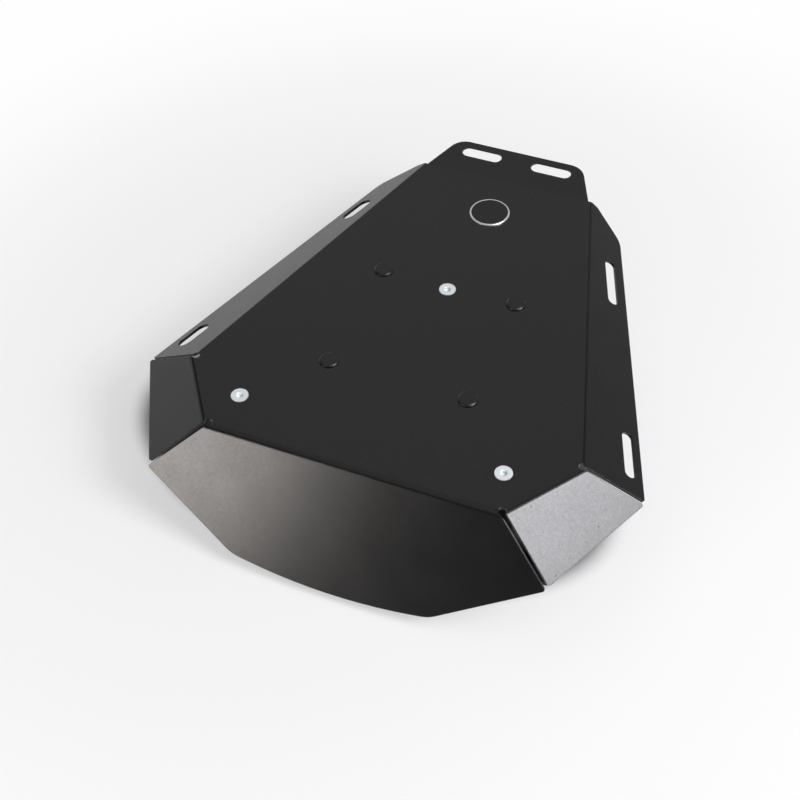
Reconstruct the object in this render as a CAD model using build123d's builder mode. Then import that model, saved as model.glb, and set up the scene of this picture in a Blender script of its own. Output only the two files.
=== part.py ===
from build123d import *
import math
import os

# Luggage rack that takes the place of a motorcycle's pillion seat.
# Millimetres. X runs across, +Y to the rear and +Z up. The origin is the middle of the footprint,
# on the surface that the four rubber feet stand on.
# Left and right are as seen by someone who stands in front of the rack and looks to the rear.

# Size over all
rack_width = 358.6
rack_length = 383.2
deck_height = 82.0

# Folded sheet of the rack plate
sheet = 2.0
bend_inside = 3.0
bend_outside = bend_inside + sheet

# Fold angles below the deck, and the tab's rise above it
front_fold_angle = 58.0
corner_fold_angle = 39.5
side_fold_angle = 31.0
tab_rise_angle = 7.0

# How far the front flange goes down its slope, and the tab back from its fold line
front_deepest = 88.9
tab_reach = 32.1

# Fold lines of the deck, given where the planes of the two faces meet
side_overhang = 39.2
corner_fold_width = 36.3
corner_fold_length = 50.7
side_taper = 73.6
tab_fold_ahead = 2.0
front_fold_y = front_deepest * math.cos(math.radians(front_fold_angle)) - rack_length / 2
tab_end = tab_reach * math.cos(math.radians(tab_rise_angle)) + sheet * math.sin(math.radians(tab_rise_angle))
tab_fold_y = rack_length / 2 - tab_end
side_corner_x = rack_width / 2 - side_overhang
side_corner_y = front_fold_y + corner_fold_length
front_corner_x = side_corner_x - corner_fold_width
rear_corner_x = side_corner_x - side_taper
rear_corner_y = tab_fold_y + tab_fold_ahead

# Front flange, half outline: distance from the middle, distance down the slope from the fold line
front_root_x = front_corner_x + 0.9
front_tip_x = front_corner_x + 36.5
front_tip_drop = 40.4
front_knee_x = front_corner_x - 32.9
front_knee_drop = 82.8
front_knee_radius = 25.0
front_arc_x = front_corner_x - 43.8
front_arc_drop = 84.5
front_tip_radius = 1.5

# Corner flanges: distance forwards from the side corner along the fold line, distance down the slope
corner_root_rear = -3.2
corner_tip_rear = -28.8
corner_tip_rear_drop = 37.2
corner_root_front = 59.6
corner_tip_front = 54.9
corner_tip_front_drop = 52.8
corner_tip_radius = 1.5

# Side flanges: distance rearwards from the side corner along the fold line, distance down the slope
side_root_front = 5.0
side_tip_front = -1.6
side_tip_front_drop = 47.5
side_tip_radius = 1.5
side_fold_length = math.hypot(side_taper, rear_corner_y - side_corner_y)
side_rear = side_fold_length - 30.7
side_rear_drop = 27.2
side_rear_radius = 20.0
side_heel = side_fold_length - 4.7
side_heel_drop = 6.3
side_heel_radius = 4.0
side_root_rear = side_fold_length - 2.2

# Rear tab, half outline: distance from the middle
tab_root_x = rear_corner_x - 1.5
tab_rear_x = rear_corner_x - 16.0
tab_corner_radius = 14.0

# Relief holes at the four ends of the front folds, and the cuts that run from them to the rim
relief_radius = 2.75
outer_relief_x = side_corner_x - 1.8
outer_relief_y = side_corner_y + 3.8
inner_relief_x = front_corner_x - 1.4
inner_relief_y = front_fold_y + 3.1
outer_cut_x = side_corner_x - 1.7
outer_cut_y = side_corner_y + 3.1
outer_cut_end_x = outer_cut_x + 41.4
outer_cut_end_y = outer_cut_y + 5.1
inner_cut_x = front_corner_x - 1.9
inner_cut_y = front_fold_y + 2.1
inner_cut_end_x = inner_cut_x + 38.9
inner_cut_end_y = inner_cut_y - 21.6
outer_cut_width = 3.7
inner_cut_width = 3.4

# Lashing slots: length, width, place along the fold line and down the slope
tab_slot_length = 32.0
tab_slot_width = 10.2
tab_slot_x = tab_rear_x - 22.3
tab_slot_reach = tab_reach - 10.1
left_slot_length = 27.0
left_slot_width = 13.0
left_front_slot = 27.5
left_front_slot_drop = 32.0
left_rear_slot = side_fold_length - 69.2
left_rear_slot_drop = 18.0
right_slot_width = 8.6
right_front_slot_length = 37.0
right_front_slot = 31.6
right_front_slot_drop = 35.0
right_rear_slot_length = 43.0
right_rear_slot = side_fold_length - 78.9
right_rear_slot_drop = 19.9

# Countersunk hex socket screws, M6, and the weld nuts that they go into
screw_radius = 3.0
screw_length = 14.0
screw_head_radius = 6.0
screw_head_angle = 90.0
screw_head_rise = 0.4
socket_sides = 6
socket_width = 4.0
socket_depth = 2.2
socket_mouth_radius = 2.6
screw_tip_chamfer = 0.7
head_clearance = 0.2
seat_clearance = 0.04
hole_clearance = 0.3
rear_screw_y = 31.5
front_screw_x = front_corner_x - 10.5
front_screw_y = front_fold_y + 31.5
nut_sides = 6
nut_width = 10.0
nut_height = 5.0
nut_chamfer = 0.6
thread_clearance = 0.05

# Plugs in the holes for a top case's adapter
plug_x = 50.4
rear_plug_y = 34.7
front_plug_y = -62.1
plug_hole_radius = 5.0
plug_cap_radius = 7.0
plug_cap_height = 1.5
plug_rim_height = 0.7
plug_bevel = 1.1
plug_stem_radius = 4.85
plug_stem_inside = 3.2
plug_stem_length = 9.0
plug_barb_radius = 5.5
plug_barb_gap = 0.2
plug_barb_height = 1.6
plug_tip_radius = 4.3
plug_split_width = 1.6

# Round badge: a bright body with a dark field let into it
emblem_y = tab_fold_y - 39.1
emblem_radius = 15.0
emblem_thickness = 1.2
emblem_bevel = 0.35
emblem_rim = 1.2
emblem_recess = 0.5
field_clearance = 0.03

# Folded brackets under the deck
bracket_sheet = 3.0
bracket_bend_inside = 3.0
bracket_width = 40.0
bracket_corner_radius = 6.0
bracket_foot_length = 28.5
front_leg_x = front_screw_x + 14.7
front_foot_end_x = front_leg_x + bracket_foot_length
rear_leg_x = 38.0
rear_foot_end_x = rear_leg_x + bracket_foot_length

# Rubber bushes in the feet, and the steel sleeves in the bushes
bush_place = 16.0
front_bush_x = front_leg_x + bush_place
rear_bush_x = rear_leg_x + bush_place
bush_foot_radius = 11.0
bush_foot_height = 5.0
bush_neck_radius = 7.0
bush_head_radius = 9.5
bush_head_height = 3.0
bush_bevel = 1.0
bush_clearance = 0.05
sleeve_radius = 4.3
sleeve_bore_radius = 3.2
sleeve_end_gap = 0.4
sleeve_chamfer = 0.3

os.makedirs("parts", exist_ok=True)

UP = Vector(0, 0, 1)
side_corner = Vector(side_corner_x, side_corner_y, deck_height)
front_corner = Vector(front_corner_x, front_fold_y, deck_height)
rear_corner = Vector(rear_corner_x, rear_corner_y, deck_height)
front_middle = Vector(0, front_fold_y, deck_height)
tab_middle = Vector(0, tab_fold_y, deck_height)

# Each fold line runs so that the outside of the deck is on its left
side_along = (side_corner - rear_corner).normalized()
corner_along = (front_corner - side_corner).normalized()
front_along = Vector(-1, 0, 0)
tab_along = Vector(1, 0, 0)
left_side_along = Vector(side_along.X, -side_along.Y, 0)
left_side_corner = Vector(-side_corner_x, side_corner_y, deck_height)


def outward(along):
    return UP.cross(along)


def setback(fold_angle):
    return bend_outside * math.tan(math.radians(fold_angle) / 2)


def flange_plane(start, along, fold):
    # Outer face of a flange: local X along its fold line, local Y down its slope
    slope = outward(along) * math.cos(math.radians(fold)) - UP * math.sin(math.radians(fold))
    return Plane(origin=start, x_dir=along, z_dir=along.cross(slope))


def section_plane(start, along):
    # Section across a fold: local X outwards, local Y up
    return Plane(origin=start, x_dir=outward(along), z_dir=along)


def tangent_meet(start_a, along_a, fold_a, start_b, along_b, fold_b):
    # Corner of the flat part of the deck, where the starts of two folds meet
    point_a = start_a - outward(along_a) * setback(fold_a)
    point_b = start_b - outward(along_b) * setback(fold_b)
    gap = point_b - point_a
    run = (gap.X * along_b.Y - gap.Y * along_b.X) / (along_a.X * along_b.Y - along_a.Y * along_b.X)
    return point_a + along_a * run


def bend_face(fold):
    # Section of a downward fold, drawn in the plane across it
    centre = (-setback(fold), -bend_outside)
    with BuildSketch() as section:
        with BuildLine():
            outside = CenterArc(centre, bend_outside, 90 - fold, fold)
            inside = CenterArc(centre, bend_inside, 90 - fold, fold)
            Line(outside @ 0, inside @ 0)
            Line(outside @ 1, inside @ 1)
        make_face()
    return section.sketch


outer_start = Vector(outer_cut_x, outer_cut_y, deck_height)
inner_start = Vector(inner_cut_x, inner_cut_y, deck_height)
outer_cut = (Vector(outer_cut_end_x, outer_cut_end_y, deck_height) - outer_start).normalized()
inner_cut = (Vector(inner_cut_end_x, inner_cut_end_y, deck_height) - inner_start).normalized()
outer_cut_plane = Plane(origin=outer_start, x_dir=outer_cut, z_dir=outward(outer_cut))
inner_cut_plane = Plane(origin=inner_start, x_dir=inner_cut, z_dir=outward(inner_cut))

corner_length = (front_corner - side_corner).length
front_flange_plane = flange_plane(front_middle, front_along, front_fold_angle)
corner_flange_plane = flange_plane(side_corner, corner_along, corner_fold_angle)
right_flange_plane = flange_plane(side_corner, side_along, side_fold_angle)
left_flange_plane = flange_plane(left_side_corner, left_side_along, side_fold_angle)
tab_plane = flange_plane(tab_middle, tab_along, -tab_rise_angle)
slot_lean = math.degrees(math.atan2(side_tip_front_drop - side_rear_drop, side_rear - side_tip_front))

# Right half of the front fold, which ends at the cut
with BuildPart() as front_bend:
    with BuildSketch(section_plane(front_middle, front_along)):
        add(bend_face(front_fold_angle))
    extrude(amount=-(front_corner_x + relief_radius * 3))
    split(bisect_by=inner_cut_plane.offset(-inner_cut_width / 2), keep=Keep.BOTTOM)

# Right corner flange with its fold
with BuildPart() as corner_flange:
    with BuildSketch(section_plane(side_corner - corner_along * relief_radius * 4, corner_along)):
        add(bend_face(corner_fold_angle))
    extrude(amount=corner_length + relief_radius * 8)
    split(bisect_by=outer_cut_plane.offset(-outer_cut_width / 2), keep=Keep.BOTTOM)
    split(bisect_by=inner_cut_plane.offset(inner_cut_width / 2), keep=Keep.TOP)
    with BuildSketch(corner_flange_plane) as corner_outline:
        with BuildLine():
            Polyline(
                (corner_root_rear, setback(corner_fold_angle)),
                (corner_tip_rear, corner_tip_rear_drop),
                (corner_tip_front, corner_tip_front_drop),
                (corner_root_front, setback(corner_fold_angle)),
                close=True,
            )
        make_face()
        fillet(corner_outline.vertices().sort_by(Axis.Y)[-2:], corner_tip_radius)
    extrude(amount=-sheet)

# Right side flange with its fold
with BuildPart() as side_flange:
    with BuildSketch(section_plane(side_corner - side_along * side_root_rear, side_along)):
        add(bend_face(side_fold_angle))
    extrude(amount=side_root_rear)
    split(bisect_by=outer_cut_plane.offset(outer_cut_width / 2), keep=Keep.TOP)
    with BuildSketch(right_flange_plane) as side_outline:
        with BuildLine():
            FilletPolyline(
                (-side_root_front, setback(side_fold_angle)),
                (-side_tip_front, side_tip_front_drop),
                (-side_rear, side_rear_drop),
                (-side_heel, side_heel_drop),
                (-side_root_rear, setback(side_fold_angle)),
                radius=[0, side_tip_radius, side_rear_radius, side_heel_radius, 0],
                close=True,
            )
        make_face()
    extrude(amount=-sheet)

# Whole plate
deck_front_corner = tangent_meet(
    front_corner, front_along, front_fold_angle, front_corner, corner_along, corner_fold_angle
)
deck_side_corner = tangent_meet(
    side_corner, corner_along, corner_fold_angle, side_corner, side_along, side_fold_angle
)
deck_heel = side_corner - side_along * side_root_rear - outward(side_along) * setback(side_fold_angle)
tab_setback = bend_inside * math.tan(math.radians(tab_rise_angle) / 2)

with BuildPart() as rack_plate:
    with BuildSketch(Plane.XY.offset(deck_height)):
        with BuildLine():
            Polyline(
                (-deck_front_corner.X, deck_front_corner.Y),
                (deck_front_corner.X, deck_front_corner.Y),
                (deck_side_corner.X, deck_side_corner.Y),
                (deck_heel.X, deck_heel.Y),
                (tab_root_x, tab_fold_y - tab_setback),
                (-tab_root_x, tab_fold_y - tab_setback),
                (-deck_heel.X, deck_heel.Y),
                (-deck_side_corner.X, deck_side_corner.Y),
                close=True,
            )
        make_face()
    extrude(amount=-sheet)

    # Tab, raised by a shallow fold
    with BuildSketch(section_plane(tab_middle - tab_along * tab_root_x, tab_along)):
        with BuildLine():
            tab_top = CenterArc((-tab_setback, bend_inside), bend_inside, -90, tab_rise_angle)
            tab_under = CenterArc((-tab_setback, bend_inside), bend_outside, -90, tab_rise_angle)
            Line(tab_top @ 0, tab_under @ 0)
            Line(tab_top @ 1, tab_under @ 1)
        make_face()
    extrude(amount=tab_root_x * 2)
    with BuildSketch(tab_plane):
        with BuildLine():
            FilletPolyline(
                (tab_root_x, tab_setback),
                (tab_rear_x, tab_reach),
                (-tab_rear_x, tab_reach),
                (-tab_root_x, tab_setback),
                radius=[0, tab_corner_radius, tab_corner_radius, 0],
                close=True,
            )
        make_face()
    extrude(amount=-sheet)

    # Front flange
    with BuildSketch(front_flange_plane) as front_outline:
        with BuildLine():
            lowest = ThreePointArc(
                (-front_arc_x, front_arc_drop), (0, front_deepest), (front_arc_x, front_arc_drop)
            )
            knee_right = Line(lowest @ 1, (front_knee_x, front_knee_drop))
            knee_left = Line(lowest @ 0, (-front_knee_x, front_knee_drop))
            Polyline(
                knee_right @ 1,
                (front_tip_x, front_tip_drop),
                (front_root_x, setback(front_fold_angle)),
                (-front_root_x, setback(front_fold_angle)),
                (-front_tip_x, front_tip_drop),
                knee_left @ 1,
            )
        make_face()
        tips = front_outline.vertices().group_by(Axis.X)
        fillet(tips[0] + tips[-1], front_tip_radius)
        knees = front_outline.vertices().filter_by(
            lambda corner: abs(corner.Y - front_knee_drop) < sheet / 10
        )
        fillet(knees, front_knee_radius)
    extrude(amount=-sheet)

    # Folds and flanges on both sides
    for half in (front_bend, corner_flange, side_flange):
        add(half.part)
        mirror(half.part, about=Plane.YZ)

    # Relief holes, from which the cuts run out
    with BuildSketch(Plane.XY.offset(deck_height)):
        with Locations(
            (outer_relief_x, outer_relief_y),
            (-outer_relief_x, outer_relief_y),
            (inner_relief_x, inner_relief_y),
            (-inner_relief_x, inner_relief_y),
        ):
            Circle(relief_radius)
    extrude(amount=bend_outside * 2, both=True, mode=Mode.SUBTRACT)

    # Lashing slots
    with BuildSketch(tab_plane):
        with Locations((-tab_slot_x, tab_slot_reach), (tab_slot_x, tab_slot_reach)):
            SlotOverall(tab_slot_length, tab_slot_width)
    extrude(amount=-sheet, mode=Mode.SUBTRACT)
    with BuildSketch(left_flange_plane):
        with Locations(
            (left_front_slot, left_front_slot_drop), (left_rear_slot, left_rear_slot_drop)
        ):
            SlotOverall(left_slot_length, left_slot_width, rotation=-slot_lean)
    extrude(amount=-sheet, mode=Mode.SUBTRACT)
    with BuildSketch(right_flange_plane):
        with Locations((-right_front_slot, right_front_slot_drop)):
            SlotOverall(right_front_slot_length, right_slot_width, rotation=slot_lean)
        with Locations((-right_rear_slot, right_rear_slot_drop)):
            SlotOverall(right_rear_slot_length, right_slot_width, rotation=slot_lean)
    extrude(amount=-sheet, mode=Mode.SUBTRACT)

    # Holes for the screws and the plugs
    with Locations(
        (0, rear_screw_y, deck_height),
        (-front_screw_x, front_screw_y, deck_height),
        (front_screw_x, front_screw_y, deck_height),
    ):
        CounterSinkHole(
            screw_radius + hole_clearance,
            screw_head_radius + head_clearance,
            depth=bend_outside,
            counter_sink_angle=screw_head_angle,
        )
    with Locations(
        (-plug_x, rear_plug_y, deck_height),
        (plug_x, rear_plug_y, deck_height),
        (-plug_x, front_plug_y, deck_height),
        (plug_x, front_plug_y, deck_height),
    ):
        Hole(plug_hole_radius, depth=bend_outside)

# Countersunk screw: its head stands slightly proud, and local zero is the deck's top
with BuildPart() as screw:
    with BuildSketch(Plane.XZ):
        with BuildLine():
            Polyline(
                (0, screw_head_rise),
                (screw_head_radius, screw_head_rise),
                (screw_head_radius, seat_clearance - head_clearance),
                (screw_radius, seat_clearance - head_clearance - screw_head_radius + screw_radius),
                (screw_radius, screw_tip_chamfer - screw_length),
                (screw_radius - screw_tip_chamfer, -screw_length),
                (0, -screw_length),
                close=True,
            )
        make_face()
    revolve(axis=Axis.Z)
    with BuildSketch(Plane.XY.offset(screw_head_rise)):
        RegularPolygon(socket_width / 2, socket_sides, major_radius=False)
    extrude(amount=-socket_depth, mode=Mode.SUBTRACT)
    with BuildSketch(Plane.XY.offset(screw_head_rise)):
        Circle(socket_mouth_radius)
    extrude(amount=socket_width / 2 - socket_mouth_radius, taper=screw_head_angle / 2, mode=Mode.SUBTRACT)

# Weld nut: local zero is the underside of the bracket's web
with BuildPart() as weld_nut:
    with BuildSketch(Plane.XY):
        RegularPolygon(nut_width / 2, nut_sides, major_radius=False)
    extrude(amount=-nut_height)
    nut_corner = nut_width / 2 / math.cos(math.pi / nut_sides)
    with BuildSketch(Plane.XZ):
        with BuildLine():
            Polyline(
                (screw_radius + thread_clearance, 0),
                (nut_corner, 0),
                (nut_corner, nut_chamfer - nut_height),
                (nut_width / 2, -nut_height),
                (screw_radius + thread_clearance, -nut_height),
                close=True,
            )
        make_face()
    revolve(axis=Axis.Z, mode=Mode.INTERSECT)

# Push-in plug: local zero is the deck's top
barb_top = -sheet - plug_barb_gap
with BuildPart() as plug:
    with BuildSketch(Plane.XZ):
        with BuildLine():
            Polyline(
                (0, 0),
                (plug_stem_inside, 0),
                (plug_stem_inside, -plug_stem_length),
                (plug_tip_radius, -plug_stem_length),
                (plug_barb_radius, barb_top - plug_barb_height),
                (plug_barb_radius, barb_top),
                (plug_stem_radius, barb_top),
                (plug_stem_radius, 0),
                (plug_cap_radius, 0),
                (plug_cap_radius, plug_rim_height),
                (plug_cap_radius - plug_bevel, plug_cap_height),
                (0, plug_cap_height),
                close=True,
            )
        make_face()
    revolve(axis=Axis.Z)
    with BuildSketch(Plane.XY.offset(-plug_stem_length)):
        Rectangle(plug_barb_radius * 2, plug_split_width)
        Rectangle(plug_split_width, plug_barb_radius * 2)
    extrude(amount=plug_stem_length - sheet / 2, mode=Mode.SUBTRACT)

# Badge: local zero is the deck's top
field_radius = emblem_radius - emblem_rim
field_floor = emblem_thickness - emblem_recess
with BuildPart() as emblem_body:
    with BuildSketch(Plane.XY):
        Circle(emblem_radius)
    extrude(amount=emblem_thickness)
    chamfer(emblem_body.faces().sort_by(Axis.Z)[-1].edges(), emblem_bevel)
    with BuildSketch(Plane.XY.offset(emblem_thickness)):
        Circle(field_radius)
    extrude(amount=-emblem_recess, mode=Mode.SUBTRACT)

with BuildPart() as emblem_field:
    with BuildSketch(Plane.XY.offset(field_floor)):
        Circle(field_radius - field_clearance)
    extrude(amount=emblem_recess)

# Folded brackets, drawn as the middle line of their sheet
web_middle = deck_height - sheet - bracket_sheet / 2
foot_middle = bush_foot_height + bracket_sheet / 2
bracket_bend_middle = bracket_bend_inside + bracket_sheet / 2
nut_seat = deck_height - sheet - bracket_sheet

with BuildPart() as front_bracket:
    with BuildSketch(Plane.XZ.offset(-front_screw_y)):
        with BuildLine() as front_bracket_line:
            FilletPolyline(
                (-front_foot_end_x, foot_middle),
                (-front_leg_x, foot_middle),
                (-front_leg_x, web_middle),
                (front_leg_x, web_middle),
                (front_leg_x, foot_middle),
                (front_foot_end_x, foot_middle),
                radius=bracket_bend_middle,
            )
        trace(front_bracket_line.line, bracket_sheet)
    extrude(amount=bracket_width / 2, both=True)
    foot_corners = front_bracket.edges().filter_by(Axis.Z).filter_by(
        lambda edge: edge.length < bracket_sheet * 2
    )
    fillet(foot_corners, bracket_corner_radius)
    with Locations(
        (-front_screw_x, front_screw_y, deck_height), (front_screw_x, front_screw_y, deck_height)
    ):
        CounterSinkHole(
            screw_radius + hole_clearance,
            screw_head_radius + head_clearance,
            depth=screw_length,
            counter_sink_angle=screw_head_angle,
        )
    with Locations(
        (-front_bush_x, front_screw_y, foot_middle), (front_bush_x, front_screw_y, foot_middle)
    ):
        Hole(bush_neck_radius + bush_clearance, depth=bracket_sheet)

with BuildPart() as rear_bracket:
    with BuildSketch(Plane.XZ.offset(-rear_screw_y)):
        with BuildLine() as rear_bracket_line:
            FilletPolyline(
                (-rear_foot_end_x, foot_middle),
                (-rear_leg_x, foot_middle),
                (-rear_leg_x, web_middle),
                (rear_leg_x, web_middle),
                (rear_leg_x, foot_middle),
                (rear_foot_end_x, foot_middle),
                radius=bracket_bend_middle,
            )
        trace(rear_bracket_line.line, bracket_sheet)
    extrude(amount=bracket_width / 2, both=True)
    foot_corners = rear_bracket.edges().filter_by(Axis.Z).filter_by(
        lambda edge: edge.length < bracket_sheet * 2
    )
    fillet(foot_corners, bracket_corner_radius)
    with Locations((0, rear_screw_y, deck_height)):
        CounterSinkHole(
            screw_radius + hole_clearance,
            screw_head_radius + head_clearance,
            depth=screw_length,
            counter_sink_angle=screw_head_angle,
        )
    with Locations(
        (-rear_bush_x, rear_screw_y, foot_middle), (rear_bush_x, rear_screw_y, foot_middle)
    ):
        Hole(bush_neck_radius + bush_clearance, depth=bracket_sheet)

# Rubber bush: local zero is the surface that it stands on
bush_neck_top = bush_foot_height + bracket_sheet
bush_height = bush_neck_top + bush_head_height
with BuildPart() as bush:
    with BuildSketch(Plane.XZ) as bush_section:
        with BuildLine():
            Polyline(
                (sleeve_radius + bush_clearance, 0),
                (bush_foot_radius, 0),
                (bush_foot_radius, bush_foot_height),
                (bush_neck_radius, bush_foot_height),
                (bush_neck_radius, bush_neck_top),
                (bush_head_radius, bush_neck_top),
                (bush_head_radius, bush_height),
                (sleeve_radius + bush_clearance, bush_height),
                close=True,
            )
        make_face()
        chamfer(bush_section.vertices().group_by(Axis.Y)[0].sort_by(Axis.X)[-1], bush_bevel)
    revolve(axis=Axis.Z)

with BuildPart() as sleeve:
    with BuildSketch(Plane.XY.offset(sleeve_end_gap)):
        Circle(sleeve_radius)
        Circle(sleeve_bore_radius, mode=Mode.SUBTRACT)
    extrude(amount=bush_height - sleeve_end_gap * 2)
    chamfer(sleeve.edges().filter_by(GeomType.CIRCLE).group_by(SortBy.RADIUS)[0], sleeve_chamfer)


def write(shape, name):
    shape.label = name
    export_step(shape, "parts/" + name + ".step")


write(rack_plate.part, "rack_plate")
write(front_bracket.part, "front_bracket")
write(rear_bracket.part, "rear_bracket")
write(Pos(0, emblem_y, deck_height) * emblem_body.part, "emblem_body")
write(Pos(0, emblem_y, deck_height) * emblem_field.part, "emblem_field")

screw_places = {
    "rear": (0, rear_screw_y),
    "front_left": (-front_screw_x, front_screw_y),
    "front_right": (front_screw_x, front_screw_y),
}
for place, (x, y) in screw_places.items():
    write(Pos(x, y, deck_height) * screw.part, place + "_screw")
    write(Pos(x, y, nut_seat) * weld_nut.part, place + "_weld_nut")

plug_places = {
    "rear_left": (-plug_x, rear_plug_y),
    "rear_right": (plug_x, rear_plug_y),
    "front_left": (-plug_x, front_plug_y),
    "front_right": (plug_x, front_plug_y),
}
for place, (x, y) in plug_places.items():
    write(Pos(x, y, deck_height) * plug.part, place + "_plug")

foot_places = {
    "rear_left": (-rear_bush_x, rear_screw_y),
    "rear_right": (rear_bush_x, rear_screw_y),
    "front_left": (-front_bush_x, front_screw_y),
    "front_right": (front_bush_x, front_screw_y),
}
for place, (x, y) in foot_places.items():
    write(Pos(x, y, 0) * bush.part, place + "_bush")
    write(Pos(x, y, 0) * sleeve.part, place + "_sleeve")
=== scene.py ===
import math

import bpy
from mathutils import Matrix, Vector

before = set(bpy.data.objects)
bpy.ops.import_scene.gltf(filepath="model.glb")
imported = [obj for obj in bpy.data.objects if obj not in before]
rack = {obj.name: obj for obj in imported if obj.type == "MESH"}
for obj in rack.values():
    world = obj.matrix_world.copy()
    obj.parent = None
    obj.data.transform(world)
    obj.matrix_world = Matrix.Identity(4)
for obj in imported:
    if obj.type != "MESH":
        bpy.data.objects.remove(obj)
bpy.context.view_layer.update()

# Everything is in metres. X runs across the rack, +Y to its rear and +Z up, and its feet stand at height 0
MM = 0.001

# Three screws hold the plate. Each corner has a plug on top, and a bush and a sleeve in its foot
SCREWS = ["rear", "front_left", "front_right"]
CORNERS = ["rear_left", "rear_right", "front_left", "front_right"]

# Camera, at the height and angle that the rack was photographed from. Its turn is in degrees
CAMERA_SPOT = (0.26083, -0.64767, 0.77372)
CAMERA_TURN = (41.96063, 1.51912, 22.22689)
CAMERA_LENS = 63.10
CAMERA_SENSOR = 36.0
CAMERA_NEAREST = 0.01
CAMERA_FARTHEST = 50.0


def set_up_camera():
    lens = bpy.data.cameras.new("photo_camera")
    lens.sensor_width = CAMERA_SENSOR
    lens.lens = CAMERA_LENS
    lens.clip_start = CAMERA_NEAREST
    lens.clip_end = CAMERA_FARTHEST
    camera = bpy.data.objects.new("photo_camera", lens)
    bpy.context.scene.collection.objects.link(camera)
    camera.location = CAMERA_SPOT
    camera.rotation_euler = [math.radians(turn) for turn in CAMERA_TURN]
    bpy.context.scene.camera = camera


set_up_camera()


# Helpers for the node trees of the finishes, the floor and the room
WHITE = (1.0, 1.0, 1.0, 1.0)


# Gives an inlet a plain value, or joins another node's outlet to it
def feed(inlet, source):
    if isinstance(source, bpy.types.NodeSocket):
        inlet.id_data.links.new(source, inlet)
    else:
        inlet.default_value = source


# Adds a node at a place in the node editor, with its settings and what goes into its inlets
def add_node(nodes, kind, place, inlets=None, **settings):
    node = nodes.new(kind)
    node.location = place
    for setting, value in settings.items():
        setattr(node, setting, value)
    for inlet, source in (inlets or {}).items():
        feed(node.inputs[inlet], source)
    return node


# One step of arithmetic on two values
def reckon(nodes, operation, first, second, place, **settings):
    step = add_node(nodes, "ShaderNodeMath", place, {0: first, 1: second}, operation=operation, **settings)
    return step.outputs["Value"]


# Stretches a value from one range to another, straight or with soft ends
def stretch(nodes, value, start, end, place, low=0.0, high=1.0, ends="LINEAR"):
    ranges = {"Value": value, "From Min": start, "From Max": end, "To Min": low, "To Max": high}
    step = add_node(nodes, "ShaderNodeMapRange", place, ranges, interpolation_type=ends)
    return step.outputs["Result"]


# Mixes two colours
def mix_colours(nodes, share, first, second, place):
    mixed = {"Factor": share, "A": first, "B": second}
    step = add_node(nodes, "ShaderNodeMix", place, mixed, data_type="RGBA")
    return step.outputs["Result"]


# A new material, with its nodes
def new_material(name):
    material = bpy.data.materials.new(name)
    material.use_nodes = True
    return material, material.node_tree.nodes


# A new group of nodes, with the values that it is given and the inlets of its results
def new_group(name, inlets, outlets):
    group = bpy.data.node_groups.new(name, "ShaderNodeTree")
    for label, value in inlets.items():
        socket = group.interface.new_socket(name=label, in_out="INPUT", socket_type="NodeSocketFloat")
        socket.default_value = value
    for label, kind in outlets.items():
        group.interface.new_socket(name=label, in_out="OUTPUT", socket_type=kind)
    given = add_node(group.nodes, "NodeGroupInput", (-900, 0)).outputs
    results = add_node(group.nodes, "NodeGroupOutput", (900, 0)).inputs
    return group, group.nodes, given, results


# Fine texture of a baked powder coat, or of a moulded or plated skin: broad ripple with grain on it
def make_skin_texture():
    group, nodes, given, results = new_group(
        "skin_texture",
        {"Ripple Size": 700.0, "Grain Size": 2600.0, "Grain Share": 0.5, "Mottle Size": 38.0},
        {"Height": "NodeSocketFloat", "Mottle": "NodeSocketFloat"},
    )
    spot = add_node(nodes, "ShaderNodeTexCoord", (-900, -220)).outputs["Object"]
    ripple = add_node(nodes, "ShaderNodeTexNoise", (-620, 160),
                      {"Vector": spot, "Scale": given["Ripple Size"], "Detail": 2.0})
    grain = add_node(nodes, "ShaderNodeTexNoise", (-620, -140),
                     {"Vector": spot, "Scale": given["Grain Size"], "Detail": 1.0})
    mottle = add_node(nodes, "ShaderNodeTexNoise", (-620, -440),
                      {"Vector": spot, "Scale": given["Mottle Size"], "Detail": 4.0})
    both = add_node(nodes, "ShaderNodeMix", (-260, 60),
                    {"Factor": given["Grain Share"], "A": ripple.outputs["Fac"], "B": grain.outputs["Fac"]})
    feed(results["Height"], both.outputs["Result"])
    feed(results["Mottle"], mottle.outputs["Fac"])
    return group


# Dust lies on faces that look up by more than the first share, and in full by the second
DUST_STARTS = 0.3
DUST_IN_FULL = 0.6


# Small specks of dust that have settled on the upper faces
def make_dust_specks():
    group, nodes, given, results = new_group(
        "dust_specks",
        {"Spacing": 120.0, "Speck Size": 0.05, "Share": 0.3},
        {"Mask": "NodeSocketFloat"},
    )
    spot = add_node(nodes, "ShaderNodeTexCoord", (-900, -220)).outputs["Object"]
    cells = add_node(nodes, "ShaderNodeTexVoronoi", (-640, 160),
                     {"Vector": spot, "Scale": given["Spacing"]})
    chance = add_node(nodes, "ShaderNodeSeparateColor", (-400, 0), {"Color": cells.outputs["Color"]})
    near = reckon(nodes, "LESS_THAN", cells.outputs["Distance"], given["Speck Size"], (-400, 200))
    chosen = reckon(nodes, "LESS_THAN", chance.outputs["Red"], given["Share"], (-200, 0))
    speck = reckon(nodes, "MULTIPLY", near, chosen, (0, 120))
    facing = add_node(nodes, "ShaderNodeNewGeometry", (-640, -260)).outputs["Normal"]
    upward = add_node(nodes, "ShaderNodeSeparateXYZ", (-420, -260), {"Vector": facing}).outputs["Z"]
    on_top = stretch(nodes, upward, DUST_STARTS, DUST_IN_FULL, (-200, -260))
    feed(results["Mask"], reckon(nodes, "MULTIPLY", speck, on_top, (220, 40)))
    return group


EDGE_SAMPLES = 6


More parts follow.
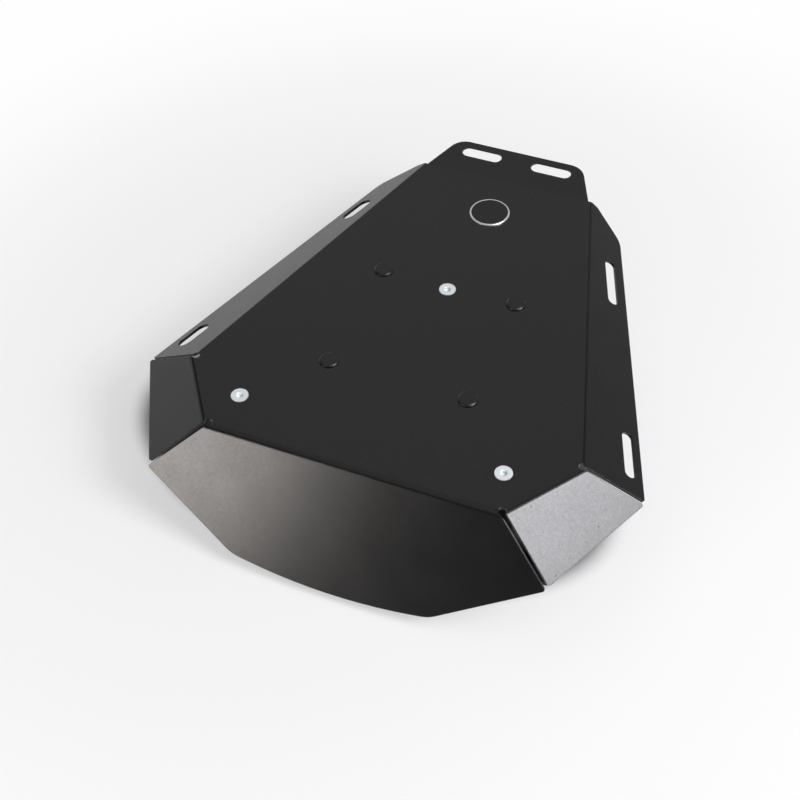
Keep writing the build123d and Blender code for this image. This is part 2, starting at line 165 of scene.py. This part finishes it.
# Edges, where a corner is softened: a rounded normal, and a mask of the edges. The finishes paint their
# edge colour on this mask, a painted highlight where it is paler and a painted shadow line where it is
# darker
def make_soft_edges():
    group, nodes, given, results = new_group(
        "soft_edges",
        {"Radius": 0.3 * MM, "Sharpness": 3.0},
        {"Normal": "NodeSocketVector", "Mask": "NodeSocketFloat"},
    )
    rounded = add_node(nodes, "ShaderNodeBevel", (-640, 120), {"Radius": given["Radius"]},
                       samples=EDGE_SAMPLES).outputs["Normal"]
    plain = add_node(nodes, "ShaderNodeNewGeometry", (-640, -160)).outputs["Normal"]
    alike = add_node(nodes, "ShaderNodeVectorMath", (-360, 0), {0: rounded, 1: plain},
                     operation="DOT_PRODUCT").outputs["Value"]
    apart = reckon(nodes, "SUBTRACT", 1.0, alike, (-160, 0))
    feed(results["Normal"], rounded)
    feed(results["Mask"], reckon(nodes, "MULTIPLY", apart, given["Sharpness"], (60, 0), use_clamp=True))
    return group


SKIN = make_skin_texture()
DUST = make_dust_specks()
EDGES = make_soft_edges()

# The skin's values gather round a half, so only the middle of their range is used
MOTTLE_LOW = 0.3
MOTTLE_HIGH = 0.7
GRAIN_LOW = 0.35
GRAIN_HIGH = 0.65


# One finish: a base colour with mottle, edges in their own colour (a painted highlight where it is paler, a
# painted shadow line where it is darker), a roughness that wanders, and the skin's relief.
# A bigger ripple or grain value makes a finer pattern, and edge is the radius that edges are softened by
def make_finish(name, colour, mottled, edge_colour, rough, rough_mottled, relief, relief_depth, edge,
                ripple, grain, grain_share=0.5, metallic=0.0, specular=0.5):
    material, nodes = new_material(name)
    skin = add_node(nodes, "ShaderNodeGroup", (-1100, -200), {
        "Ripple Size": ripple, "Grain Size": grain, "Grain Share": grain_share}, node_tree=SKIN).outputs
    edges = add_node(nodes, "ShaderNodeGroup", (-1100, -480), {"Radius": edge}, node_tree=EDGES).outputs
    tone = mix_colours(nodes, skin["Mottle"], colour, mottled, (-780, 260))
    # The edge colour is painted along the edges: a painted highlight where it is paler than the finish, a
    # painted shadow line where it is darker
    edge_painted_light = mix_colours(nodes, edges["Mask"], tone, edge_colour, (-540, 260))
    sheen = stretch(nodes, skin["Mottle"], MOTTLE_LOW, MOTTLE_HIGH, (-780, 0), rough, rough_mottled)
    bump = add_node(nodes, "ShaderNodeBump", (-300, -360), {
        "Strength": relief, "Distance": relief_depth, "Height": skin["Height"], "Normal": edges["Normal"]})
    surface = nodes["Principled BSDF"].inputs
    feed(surface["Base Color"], edge_painted_light)
    feed(surface["Roughness"], sheen)
    feed(surface["Metallic"], metallic)
    feed(surface["Specular IOR Level"], specular)
    feed(surface["Coat Roughness"], rough)
    feed(surface["Normal"], bump.outputs["Normal"])
    return material


# Dust on a finish: specks of their own colour that don't shine. A bigger spacing value makes them denser
def settle_dust(material, colour, share, spacing, size):
    nodes = material.node_tree.nodes
    surface = nodes["Principled BSDF"].inputs
    clean_colour = surface["Base Color"].links[0].from_socket
    clean_sheen = surface["Roughness"].links[0].from_socket
    specks = add_node(nodes, "ShaderNodeGroup", (-780, 520), {
        "Spacing": spacing, "Speck Size": size, "Share": share}, node_tree=DUST).outputs["Mask"]
    feed(surface["Base Color"], mix_colours(nodes, specks, clean_colour, colour, (-280, 300)))
    feed(surface["Roughness"], reckon(nodes, "MAXIMUM", specks, clean_sheen, (-280, 60)))


# Glints of the grain in a bright reflection, from a clear coat that is thicker on the grain's peaks
def add_glints(material, strength):
    nodes = material.node_tree.nodes
    height = nodes["Bump"].inputs["Height"].links[0].from_socket
    peaks = stretch(nodes, height, GRAIN_LOW, GRAIN_HIGH, (-280, -100), high=strength)
    feed(nodes["Principled BSDF"].inputs["Coat Weight"], peaks)


# In these finishes an edge colour paler than the finish is a painted highlight along the edges, and a
# darker one, as on the zinc, is a painted shadow line
satin_black_coat = make_finish(
    "satin_black_coat",
    colour=(0.0042, 0.0042, 0.0045, 1.0),
    mottled=(0.0056, 0.0056, 0.0059, 1.0),
    edge_colour=(0.014, 0.014, 0.014, 1.0),
    rough=0.23, rough_mottled=0.26, specular=0.455,
    relief=0.7, relief_depth=0.04 * MM, edge=0.4 * MM,
    ripple=440.0, grain=1000.0, grain_share=0.6,
)
settle_dust(satin_black_coat, colour=(0.024, 0.024, 0.023, 1.0), share=0.5, spacing=190.0, size=0.075)
add_glints(satin_black_coat, strength=0.22)

dull_black_coat = make_finish(
    "dull_black_coat",
    colour=(0.0055, 0.0055, 0.0058, 1.0),
    mottled=(0.0070, 0.0070, 0.0073, 1.0),
    edge_colour=(0.012, 0.012, 0.012, 1.0),
    rough=0.45, rough_mottled=0.55, specular=0.25,
    relief=0.4, relief_depth=0.03 * MM, edge=0.3 * MM,
    ripple=420.0, grain=1500.0,
)
# The zinc's dark edge colour is a painted shadow line round the screw head's rim and the rim of its socket
bright_zinc = make_finish(
    "bright_zinc",
    colour=(0.90, 0.94, 0.945, 1.0),
    mottled=(0.82, 0.87, 0.88, 1.0),
    edge_colour=(0.20, 0.22, 0.23, 1.0),
    rough=0.50, rough_mottled=0.62, metallic=0.45,
    relief=0.5, relief_depth=0.03 * MM, edge=0.6 * MM,
    ripple=600.0, grain=2400.0,
)
plated_steel = make_finish(
    "plated_steel",
    colour=(0.50, 0.51, 0.52, 1.0),
    mottled=(0.42, 0.43, 0.44, 1.0),
    edge_colour=(0.62, 0.63, 0.64, 1.0),
    rough=0.32, rough_mottled=0.44, metallic=1.0,
    relief=0.3, relief_depth=0.01 * MM, edge=0.2 * MM,
    ripple=700.0, grain=3000.0,
)
# The plug's pale edge colour is a painted highlight, a soft light rim round its cap
moulded_plug = make_finish(
    "moulded_plug",
    colour=(0.0045, 0.0045, 0.0048, 1.0),
    mottled=(0.0060, 0.0060, 0.0063, 1.0),
    edge_colour=(0.030, 0.030, 0.030, 1.0),
    rough=0.32, rough_mottled=0.38,
    relief=0.2, relief_depth=0.01 * MM, edge=1.0 * MM,
    ripple=500.0, grain=2200.0,
)
foot_rubber = make_finish(
    "foot_rubber",
    colour=(0.014, 0.014, 0.014, 1.0),
    mottled=(0.019, 0.019, 0.0185, 1.0),
    edge_colour=(0.024, 0.024, 0.024, 1.0),
    rough=0.68, rough_mottled=0.80,
    relief=0.4, relief_depth=0.03 * MM, edge=0.6 * MM,
    ripple=600.0, grain=2400.0,
)
badge_rim = make_finish(
    "badge_rim",
    colour=(0.86, 0.85, 0.84, 1.0),
    mottled=(0.80, 0.79, 0.78, 1.0),
    edge_colour=(0.92, 0.91, 0.90, 1.0),
    rough=0.34, rough_mottled=0.42, metallic=0.75,
    relief=0.1, relief_depth=0.01 * MM, edge=0.2 * MM,
    ripple=900.0, grain=3500.0,
)
badge_enamel = make_finish(
    "badge_enamel",
    colour=(0.0030, 0.0030, 0.0032, 1.0),
    mottled=(0.0045, 0.0045, 0.0047, 1.0),
    edge_colour=(0.008, 0.008, 0.008, 1.0),
    rough=0.22, rough_mottled=0.30,
    relief=0.12, relief_depth=0.02 * MM, edge=0.2 * MM,
    ripple=220.0, grain=1600.0,
)


def give_finish(piece, material):
    piece.data.materials.clear()
    piece.data.materials.append(material)


give_finish(rack["rack_plate"], satin_black_coat)
give_finish(rack["front_bracket"], dull_black_coat)
give_finish(rack["rear_bracket"], dull_black_coat)
give_finish(rack["emblem_body"], badge_rim)
give_finish(rack["emblem_field"], badge_enamel)
for where in SCREWS:
    give_finish(rack[where + "_screw"], bright_zinc)
    give_finish(rack[where + "_weld_nut"], plated_steel)
for corner in CORNERS:
    give_finish(rack[corner + "_plug"], moulded_plug)
    give_finish(rack[corner + "_bush"], foot_rubber)
    give_finish(rack[corner + "_sleeve"], plated_steel)


# Pale floor of a plain studio. The camera sees it turn from its near white to its far white between two
# distances from the rack's middle
FLOOR_SIZE = 8.0
FLOOR_COLOUR = (0.85, 0.85, 0.85, 1.0)
FLOOR_ROUGHNESS = 0.9
NEAR_WHITE = 0.55
FAR_WHITE = 0.98
NEAR_REACH = 0.22
FAR_REACH = 0.60

# How white the floor is where pieces mirror it
MIRRORED_WHITE = 0.4

# Oval shade under the rack's front that only the camera sees, so that the cuts and relief holes read dark
SHADE_COLOUR = (0.09, 0.09, 0.09, 1.0)
SHADE_MIDDLE = (-0.0216, -0.0685, 0.0)
SHADE_TURN = (0.0, 0.0, math.radians(-2.83))
SHADE_REACH = (0.1688, 0.0996, 1.0)
SHADE_START = 0.99
SHADE_END = 1.14


# How bare the floor is of the shade, from 0 inside the oval to 1 outside it
def bare_floor(nodes, spot):
    oval = {"Vector": spot, "Location": SHADE_MIDDLE, "Rotation": SHADE_TURN, "Scale": SHADE_REACH}
    in_oval = add_node(nodes, "ShaderNodeMapping", (-1500, 700), oval, vector_type="TEXTURE")
    off_middle = add_node(nodes, "ShaderNodeVectorMath", (-1300, 700), {0: in_oval.outputs["Vector"]},
                          operation="LENGTH")
    return stretch(nodes, off_middle.outputs["Value"], SHADE_START, SHADE_END, (-1100, 700),
                   ends="SMOOTHSTEP")


# How white the floor is to the camera, which grows away from the rack
def floor_white(nodes, spot):
    away = add_node(nodes, "ShaderNodeVectorMath", (-1300, 400), {0: spot}, operation="LENGTH")
    return stretch(nodes, away.outputs["Value"], NEAR_REACH, FAR_REACH, (-1100, 400),
                   NEAR_WHITE, FAR_WHITE, "SMOOTHSTEP")


# Light that is mirrored in a piece, or comes through it
def mirrored_light(nodes, path, place):
    return reckon(nodes, "MAXIMUM", path["Is Glossy Ray"], path["Is Transmission Ray"], place)


def make_pale_floor():
    material, nodes = new_material("pale_floor")
    spot = add_node(nodes, "ShaderNodeTexCoord", (-1700, 500)).outputs["Object"]
    path = add_node(nodes, "ShaderNodeLightPath", (-1100, 0)).outputs
    bare = bare_floor(nodes, spot)
    white_share = reckon(nodes, "MULTIPLY", bare, floor_white(nodes, spot), (-900, 500))
    seen = reckon(nodes, "MULTIPLY", white_share, path["Is Camera Ray"], (-700, 400))
    mirrored = reckon(nodes, "MULTIPLY", mirrored_light(nodes, path, (-700, 0)), MIRRORED_WHITE, (-500, 0))
    either = reckon(nodes, "MAXIMUM", seen, mirrored, (-300, 200))
    covered = reckon(nodes, "SUBTRACT", 1.0, bare, (-900, 800))
    shaded = reckon(nodes, "MULTIPLY", covered, path["Is Camera Ray"], (-700, 800))
    surface = nodes["Principled BSDF"]
    feed(surface.inputs["Base Color"], mix_colours(nodes, shaded, FLOOR_COLOUR, SHADE_COLOUR, (-500, 800)))
    feed(surface.inputs["Roughness"], FLOOR_ROUGHNESS)
    feed(surface.inputs["Specular IOR Level"], 0.0)
    white = add_node(nodes, "ShaderNodeEmission", (0, 0), {"Color": WHITE})
    upper_side = add_node(nodes, "ShaderNodeMixShader", (300, 200), {
        0: either, 1: surface.outputs["BSDF"], 2: white.outputs["Emission"]})
    # From below the floor can't be seen
    beneath = add_node(nodes, "ShaderNodeNewGeometry", (300, 500))
    clear = add_node(nodes, "ShaderNodeBsdfTransparent", (300, 0))
    both_sides = add_node(nodes, "ShaderNodeMixShader", (600, 200), {
        0: beneath.outputs["Backfacing"], 1: upper_side.outputs["Shader"], 2: clear.outputs["BSDF"]})
    output = nodes["Material Output"]
    output.location = (900, 200)
    feed(output.inputs["Surface"], both_sides.outputs["Shader"])
    return material


# The CAD nodes are still selected when the frame is loaded, so they are let go before a new piece is added
def deselect_all():
    if bpy.context.mode != "OBJECT":
        bpy.ops.object.mode_set(mode="OBJECT")
    bpy.ops.object.select_all(action="DESELECT")


def lay_floor():
    deselect_all()
    bpy.ops.mesh.primitive_plane_add(size=FLOOR_SIZE, location=(0.0, 0.0, 0.0))
    floor = bpy.context.object
    floor.name = "studio_floor"
    give_finish(floor, make_pale_floor())


# Tints of the lamps
WARM = (1.0, 0.945, 0.90)
COOL = (0.97, 0.96, 1.0)
NEUTRAL = (1.0, 1.0, 1.0)


# A flat lamp. Its glow is how bright its face looks, so a bigger lamp with the same glow gives more light
def hang_softbox(name, spot, aim, width, height, glow, colour=NEUTRAL):
    lamp = bpy.data.lights.new(name, "AREA")
    lamp.shape = "RECTANGLE"
    lamp.size = width
    lamp.size_y = height
    lamp.energy = glow * math.pi * width * height
    lamp.color = colour
    holder = bpy.data.objects.new(name, lamp)
    bpy.context.scene.collection.objects.link(holder)
    holder.location = spot
    holder.rotation_mode = "QUATERNION"
    holder.rotation_quaternion = (Vector(aim) - Vector(spot)).to_track_quat("-Z", "Y")


# The right softbox is mirrored in the right corner flange, and the front left one in the front flange
def hang_softboxes():
    hang_softbox("right_softbox", spot=(1.42, -0.27, 1.33), aim=(0.15, -0.11, 0.06),
                 width=0.9, height=0.8, glow=16.0, colour=COOL)
    hang_softbox("front_left_softbox", spot=(-0.83, -1.44, 0.30), aim=(-0.10, -0.165, 0.045),
                 width=0.6, height=0.42, glow=11.5, colour=WARM)
    hang_softbox("left_softbox", spot=(-1.6, 0.2, 0.5), aim=(-0.1, -0.05, 0.05),
                 width=1.0, height=0.9, glow=0.6)
    hang_softbox("left_rear_softbox", spot=(-1.2, 1.3, 0.45), aim=(0.0, 0.0, 0.05),
                 width=1.2, height=0.8, glow=0.55)
    hang_softbox("overhead_softbox", spot=(-0.5, 1.25, 1.5), aim=(0.0, 0.0, 0.05),
                 width=1.6, height=1.2, glow=0.48)
    hang_softbox("ceiling_softbox", spot=(-0.35, -0.35, 1.75), aim=(0.0, -0.05, 0.08),
                 width=2.0, height=2.0, glow=0.42)
    hang_softbox("right_rear_softbox", spot=(0.8, 1.5, 0.85), aim=(0.0, 0.0, 0.05),
                 width=1.2, height=0.9, glow=0.25)
    hang_softbox("right_top_softbox", spot=(0.78, 0.12, 1.78), aim=(0.10, -0.08, 0.08),
                 width=0.8, height=0.8, glow=1.2, colour=COOL)


# The room glows dimly. To the camera it is white, and pieces mirror a white backdrop at the rear. Of a
# direction with length 1, the part that points up is less than BACKDROP_TOP where it meets the backdrop,
# and the part that points to the rear is BACKDROP_FULL or more where the backdrop is fully white
ROOM_GLOW = 0.04
BACKDROP_GLOW = 1.0
BACKDROP_TOP = 0.30
BACKDROP_FULL = 0.6


def make_room():
    world = bpy.data.worlds.new("studio")
    world.use_nodes = True
    bpy.context.scene.world = world
    nodes = world.node_tree.nodes
    way = add_node(nodes, "ShaderNodeTexCoord", (-1000, -100)).outputs["Generated"]
    split = add_node(nodes, "ShaderNodeSeparateXYZ", (-800, -100), {"Vector": way}).outputs
    low = stretch(nodes, split["Z"], BACKDROP_TOP, 0.0, (-600, 0), ends="SMOOTHSTEP")
    rearward = stretch(nodes, split["Y"], 0.0, BACKDROP_FULL, (-600, -300), ends="SMOOTHSTEP")
    on_backdrop = reckon(nodes, "MULTIPLY", low, rearward, (-400, -150))
    path = add_node(nodes, "ShaderNodeLightPath", (-400, 300)).outputs
    mirrored = reckon(nodes, "MULTIPLY", mirrored_light(nodes, path, (-200, 200)), on_backdrop, (0, 0))
    either = reckon(nodes, "MAXIMUM", path["Is Camera Ray"], mirrored, (200, 300))
    room = nodes["Background"]
    feed(room.inputs["Color"], WHITE)
    feed(room.inputs["Strength"], ROOM_GLOW)
    backdrop = add_node(nodes, "ShaderNodeBackground", (200, -200),
                        {"Color": WHITE, "Strength": BACKDROP_GLOW})
    mix = add_node(nodes, "ShaderNodeMixShader", (400, 100), {
        0: either, 1: room.outputs["Background"], 2: backdrop.outputs["Background"]})
    feed(nodes["World Output"].inputs["Surface"], mix.outputs["Shader"])


lay_floor()
hang_softboxes()
make_room()

bpy.context.scene.view_settings.view_transform = "Standard"
